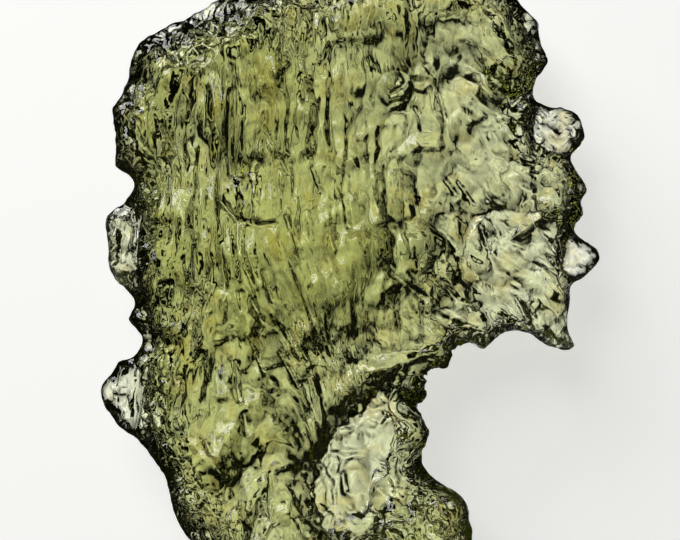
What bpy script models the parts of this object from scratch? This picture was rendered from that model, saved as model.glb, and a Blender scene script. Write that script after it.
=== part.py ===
"""A raw moldavite: a flat, deeply etched piece of green natural glass that lies on its broad back.

The whole stone is drawn in millimetres and brought to metres at the end. +Z is up and +Y runs along the
stone. The origin is at the middle of the box round the stone, on the surface that the stone lies on.
"""
import math

import bmesh
import bpy
import numpy as np
from mathutils import Matrix

NAME = "moldavite"
MM = 0.001

# Driving sizes in millimetres, and the number of faces that the finished solid may have
LENGTH = 33.3
CELL = 0.27
TRIANGLES = 9300
OUTLINE_STEP = 0.15

# The rim: how much of the thickness it takes to round over, its limits, its blunt lip, the power of its
# curve (1 is a bevel and 2 a quarter of an ellipse), and how far its width changes from place to place, in
# patches of this size, wider above where it is tighter below
RIM_SHARE = 0.4
RIM_LEAST = 0.5
RIM_MOST = 2.6
RIM_LIP = 0.22
RIM_POWER = 1.2
RIM_CHANGE = 0.35
RIM_PATCH = 3.5
# Where the rim broke off steeply: x, y, radius, how much of its width is left
STEEP_RIMS = [(4.8, -2.6, 3.2, 0.3), (9.0, -2.2, 2.5, 0.4), (4.0, -6.0, 2.6, 0.45), (-9.5, 13.4, 2.0, 0.6)]

# The middle of the plate bends up a little, away from the spot that the stone rests on, and falls from
# the thick left to the thin right so that the back is level there
MID_HEIGHT = 3.3
REST_SPOT = (-1.2, 2.6)
REST_RADIUS = 3.6
REST_SWELL = 0.8
REST_CUT = 0.25
CUTTER_SIZE = 60.0
BEND = 0.0035
FALL = 0.05

# Outline rows: x, y, and how far the stretch to the next row bows outward
LEFT_EDGE = [
    (-8.1, -12.0, 0), (-8.6, -11.25, 0.05), (-9.05, -9.9, 0.03), (-9.1, -9.3, 0.05), (-9.3, -8.65, 0.05),
    (-10.0, -7.9, 0.03), (-10.15, -7.35, 0.1), (-10.6, -7.0, 0), (-11.4, -6.5, 0.05), (-11.85, -6.1, 0),
    (-11.85, -5.85, 0.08), (-12.35, -5.1, 0.08), (-12.45, -4.3, 0.05), (-12.05, -3.9, -0.03),
    (-11.75, -3.3, 0.08), (-11.5, -3.05, 0), (-10.9, -2.85, 0), (-10.45, -2.05, -0.09),
    (-11.25, -1.05, 0), (-11.05, -0.65, 0), (-10.85, -0.2, -0.12), (-11.5, 0.7, 0.03),
    (-11.9, 1.2, 0.03), (-12.15, 1.75, 0), (-12.3, 3.85, 0.07), (-11.85, 4.5, 0.03), (-11.2, 4.7, 0),
    (-11.3, 5.0, 0), (-10.9, 5.55, -0.1), (-11.1, 6.2, 0), (-11.85, 6.65, 0), (-11.7, 8.45, -0.05),
    (-11.9, 9.5, 0), (-11.45, 10.0, 0.04), (-11.05, 11.0, 0.04), (-10.9, 12.1, 0.03), (-10.6, 12.8, 0),
]
TOP_EDGE = [
    (-10.15, 13.2, 0), (-9.65, 13.35, 0), (-8.75, 13.9, 0), (-8.3, 14.0, 0), (-7.9, 14.35, 0),
    (-7.65, 14.4, 0), (-7.05, 14.8, 0), (-6.4, 15.15, 0), (-5.2, 15.6, 0.05), (-4.1, 15.7, -0.05),
    (-2.9, 16.25, 0.1), (-1.0, 16.35, -0.08), (0.1, 16.65, 0.15), (2.1, 16.7, -0.1), (3.4, 16.9, 0.15),
    (5.3, 16.5, -0.1), (6.4, 16.4, 0.1), (7.75, 15.65, 0),
]
SPINES = [
    (8.35, 15.05, -0.03), (8.85, 14.45, 0), (9.45, 13.9, 0.02), (9.4, 13.5, 0), (9.55, 12.7, -0.02),
    (9.95, 11.9, 0.03), (9.45, 11.25, -0.03), (9.25, 10.55, 0), (9.1, 10.3, -0.05), (9.65, 9.85, 0.03),
    (10.15, 9.6, 0), (10.6, 9.63, 0), (11.25, 9.4, 0.09), (11.65, 8.8, 0.04), (11.8, 8.2, 0.03),
    (11.7, 7.9, 0), (11.05, 7.2, 0), (11.4, 6.25, 0.04), (11.75, 5.9, 0.04), (11.95, 5.45, 0),
    (11.6, 5.15, -0.03), (11.6, 4.65, 0), (11.75, 4.4, 0), (11.25, 3.65, -0.04), (11.35, 3.3, 0),
    (12.0, 2.8, 0.03), (12.6, 2.25, 0.03), (12.5, 1.9, 0), (11.95, 1.25, 0.02), (11.35, 0.85, 0),
    (11.05, 0.7, 0), (11.1, -0.3, 0), (11.0, -0.6, 0), (11.0, -1.55, 0), (11.4, -2.4, 0.03),
]
BAY = [
    (10.8, -2.6, 0.08), (9.5, -2.1, -0.08), (8.75, -1.7, -0.03), (7.8, -1.65, 0), (7.2, -2.05, 0),
    (6.7, -2.6, 0), (6.3, -2.25, -0.05), (5.4, -2.1, 0), (4.95, -2.55, 0), (4.85, -3.05, 0),
    (4.75, -3.2, 0), (4.05, -3.35, -0.06), (3.55, -3.8, -0.04), (3.7, -4.8, 0.03), (3.25, -5.3, 0),
    (3.7, -6.2, 0), (3.7, -6.5, 0), (3.95, -6.7, 0), (3.6, -7.35, 0), (3.55, -8.3, -0.03),
]
FOOT = [
    (4.35, -9.1, 0.02), (5.15, -9.55, 0), (5.65, -9.95, 0.05), (5.95, -10.75, 0.03), (6.0, -12.25, 0.05),
    (5.5, -13.7, -0.05), (5.1, -14.5, 0.13), (3.7, -15.4, -0.08), (2.7, -15.7, 0.15), (0.8, -16.4, -0.08),
    (-0.4, -16.4, 0.13), (-2.5, -16.1, -0.06), (-3.3, -15.6, 0.1), (-4.9, -14.8, -0.08),
    (-5.6, -14.4, 0.1), (-6.9, -13.3, -0.05), (-7.35, -12.8, 0.03),
]

# Thickness rows: x, y, and how thick the plate is about there
THICKNESS = [
    (-8.5, 9.0, 6.0), (-5.0, 12.0, 5.8), (-2.5, 7.5, 6.6), (1.5, 13.0, 5.2), (1.5, 6.0, 5.4),
    (5.0, 9.0, 4.6), (7.5, 12.5, 4.4), (8.5, 6.0, 3.2), (6.0, 2.5, 3.4), (9.0, 0.0, 2.2),
    (-8.5, 0.0, 6.2), (-2.5, 0.0, 6.6), (2.5, -0.5, 5.4), (1.75, -2.5, 5.0), (-8.0, -6.0, 5.8),
    (-5.0, -9.0, 5.6), (0.0, -6.5, 4.0), (2.5, -6.5, 3.8), (-1.0, -10.5, 4.2), (-6.75, -11.0, 5.2),
    (4.5, -10.5, 4.6), (4.0, -13.0, 4.6), (-2.5, -14.5, 4.4),
]
THICKNESS_REACH = 3.3

# Thin glassy lobes that stand out from the edge: x, y, half width, half length, thickness
LOBES = [
    (-11.65, 2.6, 0.7, 2.0, 2.4), (-11.6, -4.75, 0.9, 1.8, 1.6), (10.8, 8.6, 1.1, 1.0, 1.8),
    (11.75, 5.6, 0.4, 0.7, 1.0), (11.85, 2.1, 0.9, 1.3, 1.4),
]
LOBE_RIM = 0.5
LOBE_LIP = 0.2

# Shallow hollows in the face: x, y, half width, half length, turn in degrees, depth
DISHES = [
    (-2.5, 12.0, 2.0, 3.0, 0, 0.35), (4.6, 12.0, 3.4, 3.4, 20, 0.3),
    (6.9, 8.0, 2.6, 2.5, 40, 0.35), (-6.7, -1.5, 1.5, 3.5, 0, 0.35), (-8.0, 7.5, 1.4, 4.0, 0, 0.4),
    (-5.0, -8.5, 1.7, 3.0, -10, 0.4), (4.7, -0.4, 1.8, 1.3, 0, 0.35),
]
# The pale scallop low on the face: the ovals that it covers together, its depth, the width of its wall, and
# the middles, size and depth of the shell-shaped chips on its floor
SCALLOP = [
    (1.2, -5.4, 2.0, 1.8, 0), (0.2, -7.2, 2.3, 2.4, 0), (1.5, -8.0, 1.7, 2.6, 0), (-1.0, -9.2, 2.2, 2.3, 0),
    (-0.4, -11.0, 2.7, 2.1, 0),
]
SCALLOP_DEPTH = 1.4
SCALLOP_WALL = 1.0
CHIPS = [
    (1.35, -5.1), (0.2, -6.8), (1.5, -8.1), (1.9, -9.5), (-2.1, -9.2), (-0.7, -10.9), (0.5, -12.2),
    (-1.4, -7.9), (2.2, -6.9), (0.3, -9.3),
]
CHIP_SIZE = 1.5
CHIP_DEPTH = 0.25
# Shallow hollows in the back, given as those in the face are
BACK_DISHES = [
    (-7.0, 8.5, 2.6, 3.6, 15, 0.6), (4.8, 9.5, 3.8, 3.2, -20, 0.3), (6.5, 3.0, 2.6, 3.0, 30, 0.3),
    (-5.5, -10.0, 2.4, 3.2, 10, 0.6), (2.5, -11.5, 2.4, 2.4, 0, 0.5),
]
# Flat-topped lumps on the face, given as the hollows are, with a height
LUMPS = [(-4.9, 4.75, 1.6, 1.25, -10, 0.35), (2.2, 10.4, 0.9, 0.9, 0, 0.25), (-8.0, 2.0, 1.0, 1.6, 10, 0.25)]
# Shelves stand up steeply at their upper left and sink into the face at their lower right
SHELVES = [
    (1.4, 1.6, 2.3, 2.1, 0, 0.6), (3.6, 2.2, 1.9, 1.3, -15, 0.5), (7.75, 2.5, 2.1, 1.9, -20, 0.5),
    (1.6, -3.7, 2.6, 0.9, 20, 0.4), (8.0, 11.0, 1.3, 1.1, 0, 0.4), (3.8, 7.4, 1.4, 0.9, 10, 0.4),
    (-3.4, 10.9, 1.0, 1.3, 10, 0.4), (6.2, 8.3, 1.5, 1.1, -30, 0.35), (10.2, 4.0, 1.2, 1.0, -30, 0.35),
    (-4.4, -2.6, 1.2, 2.2, 10, 0.3), (-1.2, 0.0, 1.0, 1.4, 20, 0.35), (-5.6, -7.6, 1.2, 1.6, 0, 0.35),
]
# The widest straight gouges across the face: from x, y to x, y, half width, depth
GOUGES = [
    (-5.95, 10.2, -5.95, 6.2, 0.35, 0.45), (2.0, 1.3, 3.75, 0.0, 0.35, 0.35), (4.3, 1.1, 5.4, 0.0, 0.35, 0.4),
    (10.5, 1.1, 10.8, -0.8, 0.35, 0.35), (-5.65, -3.1, -5.5, -5.0, 0.35, 0.35),
    (-5.25, -5.6, -5.15, -6.5, 0.35, 0.4), (-8.7, 12.1, -7.6, 11.4, 0.35, 0.35),
]

# Etched relief, in layers: cell across, cell along, turn in degrees, depth, seed
SWELLS = [(4.6, 4.6, 0, 0.7, 3)]
# How much the height counts in the swells' pattern, so that face and back swell in different places
SWELL_STEEPNESS = 3.0
LUMPY = [(2.2, 2.9, 0, 0.5, 41), (1.1, 1.1, 0, 0.3, 31)]
UPRIGHT_FLUTES = [(0.9, 6.0, 2, 0.55, 11)]
LEANING_FLUTES = [(0.9, 2.4, 50, 0.42, 12)]
# How far the layers wander, in cells of this size: the lumps and leaning flutes, and the upright flutes
WARP_CELL = 2.0
WARP = 0.6
FLUTE_WARP = 0.22
# How much of the height counts in the flutes' pattern, so that they run on over swells
FLUTE_RUN = 0.4
# What is left of the swells and of the finer relief in the scallop
SWELLS_IN_SCALLOP = 0.3
FLUTES_IN_SCALLOP = 0.15
# The relief is full this far above or below the middle of the plate, and least at the sharp edge
RELIEF_FULL = 0.9
RELIEF_LEAST = 0.2

GLASS_COLOUR = (0.33, 0.37, 0.11, 1.0)
GLASS_IOR = 1.49
GLASS_ROUGHNESS = 0.04


def clear_scene():
    for obj in list(bpy.data.objects):
        bpy.data.objects.remove(obj)


def make_collection(name):
    collection = bpy.data.collections.new(name)
    bpy.context.scene.collection.children.link(collection)
    return collection


def outline_points():
    """The outline as a fine closed loop: each stretch between two rows is a shallow arc."""
    rows = LEFT_EDGE + TOP_EDGE + SPINES + BAY + FOOT
    loop = []
    for (x0, y0, bow), (x1, y1, _) in zip(rows, rows[1:] + rows[:1]):
        length = math.hypot(x1 - x0, y1 - y0)
        out_x, out_y = (y0 - y1) / length, (x1 - x0) / length
        steps = max(1, round(length / OUTLINE_STEP))
        for step in range(steps):
            t = step / steps
            rise = 4.0 * bow * t * (1.0 - t)
            loop.append((x0 + (x1 - x0) * t + out_x * rise, y0 + (y1 - y0) * t + out_y * rise))
    return np.array(loop)


def flat_slab(loop, collection):
    """A slab of the outline's shape, from z = -1 to z = 1."""
    curve = bpy.data.curves.new("outline", "CURVE")
    curve.dimensions = "2D"
    curve.fill_mode = "BOTH"
    curve.extrude = 1.0
    spline = curve.splines.new("POLY")
    spline.points.add(len(loop) - 1)
    for point, (x, y) in zip(spline.points, loop):
        point.co = (x, y, 0.0, 1.0)
    spline.use_cyclic_u = True
    drawn = bpy.data.objects.new("outline", curve)
    collection.objects.link(drawn)
    mesh = bpy.data.meshes.new_from_object(drawn.evaluated_get(bpy.context.evaluated_depsgraph_get()))
    bpy.data.objects.remove(drawn)
    welded = bmesh.new()
    welded.from_mesh(mesh)
    bmesh.ops.remove_doubles(welded, verts=welded.verts, dist=1e-4)
    welded.to_mesh(mesh)
    welded.free()
    slab = bpy.data.objects.new(NAME, mesh)
    collection.objects.link(slab)
    return slab


def apply_modifier(obj, kind, settings):
    """Add one modifier with its settings and make the result the object's own mesh."""
    modifier = obj.modifiers.new(kind.lower(), kind)
    for key, value in settings.items():
        setattr(modifier, key, value)
    mesh = bpy.data.meshes.new_from_object(obj.evaluated_get(bpy.context.evaluated_depsgraph_get()))
    obj.modifiers.clear()
    obj.data = mesh


def even_mesh(obj, cell):
    apply_modifier(obj, "REMESH", {"mode": "VOXEL", "voxel_size": cell, "adaptivity": 0.0})


def vertex_values(mesh, key):
    values = np.empty(len(mesh.vertices) * 3)
    mesh.vertices.foreach_get(key, values)
    return values.reshape(-1, 3)


def move_vertices(mesh, places):
    mesh.vertices.foreach_set("co", places.ravel())
    mesh.update()


def soften(mesh, rounds):
    """Move each vertex half way to the middle of its neighbours, several times."""
    places = vertex_values(mesh, "co")
    ends = np.empty(len(mesh.edges) * 2, np.int64)
    mesh.edges.foreach_get("vertices", ends)
    first, second = ends.reshape(-1, 2).T
    count = np.bincount(ends, minlength=len(places))
    for _ in range(rounds):
        for axis in range(3):
            along = places[:, axis]
            total = np.bincount(first, along[second], len(along))
            total += np.bincount(second, along[first], len(along))
            places[:, axis] = 0.5 * (along + total / count)
    move_vertices(mesh, places)


def distance_to_segments(points, starts, ends):
    """Each point's distance to the nearest of the segments, all in the XY plane."""
    along = ends - starts
    squares = (along ** 2).sum(1)
    nearest = np.empty(len(points))
    block = 2000
    for k in range(0, len(points), block):
        here = points[k:k + block, None]
        t = np.clip(((here - starts) * along).sum(2) / squares, 0.0, 1.0)
        gaps = here - (starts + along * t[..., None])
        nearest[k:k + block] = np.sqrt((gaps ** 2).sum(2).min(1))
    return nearest


def thickness_at(x, y):
    """A smooth blend of the thickness rows, the nearest counting most."""
    total = 0.0
    weights = 0.0
    for row_x, row_y, thick in THICKNESS:
        weight = np.exp(-((x - row_x) ** 2 + (y - row_y) ** 2) / (2.0 * THICKNESS_REACH ** 2)) + 1e-9
        total = total + weight * thick
        weights = weights + weight
    return total / weights


def middle_at(x, y):
    """The height of the middle of the plate, which bends up away from the rest spot."""
    right, up = x - REST_SPOT[0], y - REST_SPOT[1]
    return MID_HEIGHT - FALL * right + BEND * (right ** 2 + up ** 2)


def rounded(depth, full, lip):
    """Half the thickness where the rim rounds over, from its blunt lip to the full value."""
    left = 1.0 - np.clip(depth, 0.0, 1.0)
    return lip + (full - lip) * (1.0 - left ** RIM_POWER) ** (1.0 / RIM_POWER)


def half_thickness(x, y, edge, rim_factor):
    """Half the plate's thickness, thin over the lobes and rounded towards the edge."""
    thick = thickness_at(x, y)
    lobe_gap = np.full(len(x), 99.0)
    lobe_thick = np.zeros(len(x))
    for lobe_x, lobe_y, half_x, half_y, thin in LOBES:
        reach = np.hypot((x - lobe_x) / half_x, (y - lobe_y) / half_y)
        lobe_gap = np.minimum(lobe_gap, (reach - 1.0) * min(half_x, half_y))
        lobe_thick = np.where(reach < 1.25, np.maximum(lobe_thick, thin), lobe_thick)
    body_edge = np.minimum(edge, np.maximum(lobe_gap, 0.0))
    rim = np.clip(RIM_SHARE * thick * rim_factor, RIM_LEAST, RIM_MOST)
    body = rounded(body_edge / rim, thick / 2.0, RIM_LIP)
    lobe = rounded(edge / LOBE_RIM, np.maximum(lobe_thick / 2.0, LOBE_LIP), LOBE_LIP)
    return np.where(lobe_thick > 0.0, np.maximum(body, lobe), body)


def rim_share_left(x, y):
    """What is left of the rim's width at each place."""
    share = np.ones(len(x))
    for row_x, row_y, radius, left in STEEP_RIMS:
        reach = np.hypot(x - row_x, y - row_y) / radius
        share = np.minimum(share, left + (1.0 - left) * np.clip(reach, 0.0, 1.0) ** 2)
    return share


def give_thickness(mesh, starts, ends):
    """Turn the flat slab into the plate: rounded at its rim and bent up towards its ends."""
    places = vertex_values(mesh, "co")
    x, y, side = places.T
    edge = distance_to_segments(places[:, :2], starts, ends)
    level = np.stack([x, y, np.zeros(len(x))], 1)
    change = RIM_CHANGE * drift(level / RIM_PATCH, 51) * np.sign(side)
    half = half_thickness(x, y, edge, (1.0 + change) * rim_share_left(x, y))
    places[:, 2] = middle_at(x, y) + np.clip(side, -1.0, 1.0) * half
    move_vertices(mesh, places)


def scatter(cells, seed):
    """A repeatable value from 0 to 1 for each whole-numbered cell."""
    mixed = cells[:, 0] * 374761393 + cells[:, 1] * 668265263 + cells[:, 2] * 2147483647 + seed * 1274126177
    mixed = mixed & 0xffffffff
    mixed = ((mixed ^ (mixed >> 13)) * 1274126177) & 0xffffffff
    mixed = mixed ^ (mixed >> 16)
    return (mixed & 0xffffff) / float(0x1000000)


def drift(points, seed):
    """Smooth noise from -1 to 1."""
    cells = np.floor(points).astype(np.int64)
    part = points - cells
    ease = part ** 3 * (part * (part * 6.0 - 15.0) + 10.0)
    total = 0.0
    for corner in np.ndindex(2, 2, 2):
        shares = np.where(np.array(corner) == 1, ease, 1.0 - ease)
        total = total + shares.prod(1) * scatter(cells + np.array(corner), seed)
    return total * 2.0 - 1.0


def bowls(points, seed):
    """Hollows that meet in sharp ridges: the squared distance to the nearest scattered point."""
    cells = np.floor(points).astype(np.int64)
    nearest = np.full(len(points), 0.9)
    for offset in np.ndindex(3, 3, 3):
        there = cells + np.array(offset) - 1
        jitter = np.stack([scatter(there, seed), scatter(there, seed + 17), scatter(there, seed + 31)], 1)
        nearest = np.minimum(nearest, np.sqrt(((points - there - jitter) ** 2).sum(1)))
    return nearest ** 2


def turned(points, turn):
    """The points' x and y, measured across and along a direction turned from +Y by so many degrees."""
    cos, sin = math.cos(math.radians(turn)), math.sin(math.radians(turn))
    return points[:, 0] * cos + points[:, 1] * sin, points[:, 1] * cos - points[:, 0] * sin


def etched(places, layers):
    """Add up layers of bowls, each stretched along its own direction."""
    total = 0.0
    for across, along, turn, depth, seed in layers:
        u, v = turned(places, turn)
        total = total + depth * bowls(np.stack([u / across, v / along, places[:, 2] / across], 1), seed)
    return total


def leaning_share(x, y):
    """How far the flutes have turned from upright, on the left, to leaning, on the right."""
    return 1.0 / (1.0 + np.exp(0.12 * y - 0.6 * (x - 2.0)))


def oval_reach(x, y, row):
    """The squared distance from a row's middle, 1 at the oval's rim."""
    u, v = turned(np.stack([x - row[0], y - row[1]], 1), row[4])
    return (u / row[2]) ** 2 + (v / row[3]) ** 2


def dished(x, y, rows):
    """The deepest of several round dishes at each place."""
    return np.max([row[5] * np.maximum(1.0 - oval_reach(x, y, row), 0.0) for row in rows], axis=0)


def lumped(x, y, rows):
    """The highest of several flat-topped lumps with steep rims."""
    return np.max([row[5] * np.maximum(1.0 - oval_reach(x, y, row) ** 2, 0.0) for row in rows], axis=0)


def shelved(x, y, rows):
    """The highest of several shelves, each full at its upper left and level with the face opposite."""
    heights = []
    for row in rows:
        up_left = (y - row[1] - x + row[0]) / (1.4 * min(row[2], row[3]))
        top = np.maximum(1.0 - oval_reach(x, y, row) ** 3, 0.0)
        heights.append(row[5] * top * np.clip(0.55 + 0.45 * up_left, 0.0, 1.0))
    return np.max(heights, axis=0)


def in_scallop(x, y):
    """0 outside the scallop, rising to 1 across its wall."""
    inside = [np.maximum(1.0 - oval_reach(x, y, row), 0.0) * min(row[2], row[3]) / 2.0 for row in SCALLOP]
    part = np.clip(np.sum(inside, axis=0) / SCALLOP_WALL, 0.0, 1.0)
    return part * part * (3.0 - 2.0 * part)


def chipped(x, y):
    """Round chips that meet in sharp ridges on the scallop's floor."""
    squares = [((x - chip_x) ** 2 + (y - chip_y) ** 2) / CHIP_SIZE ** 2 for chip_x, chip_y in CHIPS]
    return CHIP_DEPTH * np.minimum(np.min(squares, axis=0), 1.0)


def gouged(points):
    """Narrow V-shaped grooves."""
    deepest = np.zeros(len(points))
    for x0, y0, x1, y1, half_width, depth in GOUGES:
        gap = distance_to_segments(points, np.array([[x0, y0]]), np.array([[x1, y1]]))
        deepest = np.maximum(deepest, depth * (1.0 - gap / half_width))
    return deepest


def fluted(places, wander):
    """Upright flutes that swing over low on the face, and leaning ones on the right."""
    x, y = places[:, 0], places[:, 1]
    straight, winding = places + FLUTE_WARP * wander, places + WARP * wander
    swing = 0.45 * np.exp(-((x + 2.5) / 3.0) ** 2) - 0.12 * np.clip((-6.0 - x) / 3.0, 0.0, 1.0)
    straight[:, 0] += swing * np.minimum(y - 3.0, 0.0)
    straight[:, 2] *= FLUTE_RUN
    lean = leaning_share(x, y)
    return (1.0 - lean) * etched(straight, UPRIGHT_FLUTES) + lean * etched(winding, LEANING_FLUTES)


def etch(mesh):
    """Press the swells, flutes, hollows, lumps, shelves and gouges into the plate, along its own normals."""
    places = vertex_values(mesh, "co")
    normals = vertex_values(mesh, "normal")
    x, y, z = places.T
    face = np.clip(normals[:, 2] * 2.0, 0.0, 1.0)
    back = np.clip(normals[:, 2] * -2.0, 0.0, 1.0)
    wander = np.stack([drift(places / WARP_CELL, seed) for seed in (5, 6, 7)], 1)
    scallop = in_scallop(x, y)
    rough = 1.0 - (1.0 - FLUTES_IN_SCALLOP) * scallop
    flutes = rough * fluted(places, wander)
    flutes = flutes - flutes.mean()
    swells = etched(places * (1.0, 1.0, SWELL_STEEPNESS), SWELLS)
    swells = swells.mean() + (swells - swells.mean()) * (1.0 - (1.0 - SWELLS_IN_SCALLOP) * scallop)
    broad = swells + rough * etched(places + WARP * wander, LUMPY)
    relief = broad - broad.mean() + flutes
    rest = np.hypot(x - REST_SPOT[0], y - REST_SPOT[1]) / REST_RADIUS
    rest_share = back * np.clip(1.5 - rest, 0.0, 1.0)
    relief = relief * (1.0 - rest_share) + REST_SWELL * rest_share
    raised = np.maximum(lumped(x, y, LUMPS), shelved(x, y, SHELVES))
    relief = relief + face * (raised - dished(x, y, DISHES) - gouged(places[:, :2]))
    relief = relief - face * scallop * (SCALLOP_DEPTH - chipped(x, y)) - back * dished(x, y, BACK_DISHES)
    relief = relief * np.clip(np.abs(z - middle_at(x, y)) / RELIEF_FULL, RELIEF_LEAST, 1.0)
    move_vertices(mesh, places + normals * relief[:, None])


def cut_rest_spot(stone, cutters):
    """Cut the lowest ridges of the back off flat with a large block, and put the cut at z = 0."""
    level = vertex_values(stone.data, "co")[:, 2].min() + REST_CUT
    bpy.ops.mesh.primitive_cube_add(size=CUTTER_SIZE, location=(0.0, 0.0, level - CUTTER_SIZE / 2.0))
    block = bpy.context.object
    block.name = "rest_cutter"
    block.display_type = "WIRE"
    block.hide_render = True
    for holder in list(block.users_collection):
        holder.objects.unlink(block)
    cutters.objects.link(block)
    apply_modifier(stone, "BOOLEAN", {"operation": "DIFFERENCE", "solver": "EXACT", "object": block})
    bpy.data.objects.remove(block)
    stone.data.transform(Matrix.Translation((0.0, 0.0, -level)))


def centre_and_scale(mesh):
    """Put the origin under the middle of the stone's box, and bring the stone to its real length."""
    places = vertex_values(mesh, "co")
    low, high = places.min(0), places.max(0)
    centre = ((low + high) / 2.0)[:2]
    mesh.transform(Matrix.Translation((-centre[0], -centre[1], 0.0)))
    mesh.transform(Matrix.Scale(MM * LENGTH / (high[1] - low[1]), 4))


def glass_material():
    material = bpy.data.materials.new("green natural glass")
    material.use_nodes = True
    shader = material.node_tree.nodes["Principled BSDF"]
    shader.inputs["Base Color"].default_value = GLASS_COLOUR
    shader.inputs["Metallic"].default_value = 0.0
    shader.inputs["Roughness"].default_value = GLASS_ROUGHNESS
    shader.inputs["IOR"].default_value = GLASS_IOR
    shader.inputs["Transmission Weight"].default_value = 1.0
    return material


def build_stone():
    collection = make_collection(NAME)
    cutters = make_collection("cutters")
    loop = outline_points()
    starts, ends = loop, np.roll(loop, -1, 0)
    stone = flat_slab(loop, collection)
    even_mesh(stone, CELL)
    give_thickness(stone.data, starts, ends)
    even_mesh(stone, CELL)
    soften(stone.data, 2)
    etch(stone.data)
    faces = sum(len(face.vertices) - 2 for face in stone.data.polygons)
    apply_modifier(stone, "DECIMATE", {"ratio": TRIANGLES / faces, "use_collapse_triangulate": True})
    cut_rest_spot(stone, cutters)
    centre_and_scale(stone.data)
    stone.data.name = NAME
    stone.data.materials.clear()
    stone.data.materials.append(glass_material())
    stone.data.shade_smooth()


clear_scene()
build_stone()
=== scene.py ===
# %% [markdown]
# # A raw moldavite on a light table
#
# Moldavite is green natural glass. Water in the ground has etched the whole stone for millions of years,
# so both faces carry long flutes, pits and sharp little ridges, and the edge is ragged. Most of what the
# eye sees is light from behind that those slopes bend: gentle slopes stay green and bright, and steep
# ones send the light aside and turn black. So this lesson spends its effort on the shape. The green is
# one plain absorption value, and thick parts come out darker by themselves.

# %% Load the solid that the looks are built around
import math

import bmesh
import bpy
import numpy as np
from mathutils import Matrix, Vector


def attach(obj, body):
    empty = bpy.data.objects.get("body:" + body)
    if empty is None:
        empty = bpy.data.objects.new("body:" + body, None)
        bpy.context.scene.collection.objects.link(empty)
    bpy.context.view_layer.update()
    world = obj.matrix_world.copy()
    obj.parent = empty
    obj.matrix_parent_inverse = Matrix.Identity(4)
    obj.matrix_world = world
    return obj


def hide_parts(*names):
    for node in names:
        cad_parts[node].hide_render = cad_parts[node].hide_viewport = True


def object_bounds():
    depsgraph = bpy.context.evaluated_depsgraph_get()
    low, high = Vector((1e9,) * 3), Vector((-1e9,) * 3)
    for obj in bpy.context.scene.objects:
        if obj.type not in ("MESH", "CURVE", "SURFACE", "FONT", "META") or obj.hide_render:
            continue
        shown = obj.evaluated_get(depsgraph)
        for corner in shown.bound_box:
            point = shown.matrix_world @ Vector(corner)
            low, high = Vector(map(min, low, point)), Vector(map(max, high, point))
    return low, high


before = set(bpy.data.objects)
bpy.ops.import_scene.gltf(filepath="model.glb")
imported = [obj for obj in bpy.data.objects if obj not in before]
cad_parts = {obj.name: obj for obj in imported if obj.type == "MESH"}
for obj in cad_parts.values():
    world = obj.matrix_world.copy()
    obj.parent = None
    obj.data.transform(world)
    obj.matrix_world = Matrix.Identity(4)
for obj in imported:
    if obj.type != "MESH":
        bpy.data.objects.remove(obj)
MM = 0.001
STONE_NODE = "moldavite"
cad_low, cad_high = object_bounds()
print("the solid spans", [round((b - a) / MM, 2) for a, b in zip(cad_low, cad_high)], "mm")

# %% [markdown]
# ## The outline
#
# The stone is a flat plate, so its outline says most about it: two thin lobes on the left, spines on the
# right, and a bay below them. An outline can be drawn as a few points that each stretch bows out or in
# from, which keeps the small hooks and notches sharp. The rows are in millimetres, on the face.

# %% Outline rows: x, y, and how far the stretch to the next row bows outward
LEFT_EDGE = [
    (-8.1, -12.0, 0), (-8.6, -11.25, 0.05), (-9.05, -9.9, 0.03), (-9.1, -9.3, 0.05), (-9.3, -8.65, 0.05),
    (-10.0, -7.9, 0.03), (-10.15, -7.35, 0.1), (-10.6, -7.0, 0), (-11.4, -6.5, 0.05), (-11.85, -6.1, 0),
    (-11.85, -5.85, 0.08), (-12.35, -5.1, 0.08), (-12.45, -4.3, 0.05), (-12.05, -3.9, -0.03),
    (-11.75, -3.3, 0.08), (-11.5, -3.05, 0), (-10.9, -2.85, 0), (-10.45, -2.05, -0.09),
    (-11.25, -1.05, 0), (-11.05, -0.65, 0), (-10.85, -0.2, -0.12), (-11.5, 0.7, 0.03),
    (-11.9, 1.2, 0.03), (-12.15, 1.75, 0), (-12.3, 3.85, 0.07), (-11.85, 4.5, 0.03), (-11.2, 4.7, 0),
    (-11.3, 5.0, 0), (-10.9, 5.55, -0.1), (-11.1, 6.2, 0), (-11.85, 6.65, 0), (-11.7, 8.45, -0.05),
    (-11.9, 9.5, 0), (-11.45, 10.0, 0.04), (-11.05, 11.0, 0.04), (-10.9, 12.1, 0.03), (-10.6, 12.8, 0),
]
TOP_EDGE = [
    (-10.15, 13.2, 0), (-9.65, 13.35, 0), (-8.75, 13.9, 0), (-8.3, 14.0, 0), (-7.9, 14.35, 0),
    (-7.65, 14.4, 0), (-7.05, 14.8, 0), (-6.4, 15.15, 0), (-5.2, 15.6, 0.05), (-4.1, 15.7, -0.05),
    (-2.9, 16.25, 0.1), (-1.0, 16.35, -0.08), (0.1, 16.65, 0.15), (2.1, 16.7, -0.1), (3.4, 16.9, 0.15),
    (5.3, 16.5, -0.1), (6.4, 16.4, 0.1), (7.75, 15.65, 0),
]
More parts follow.
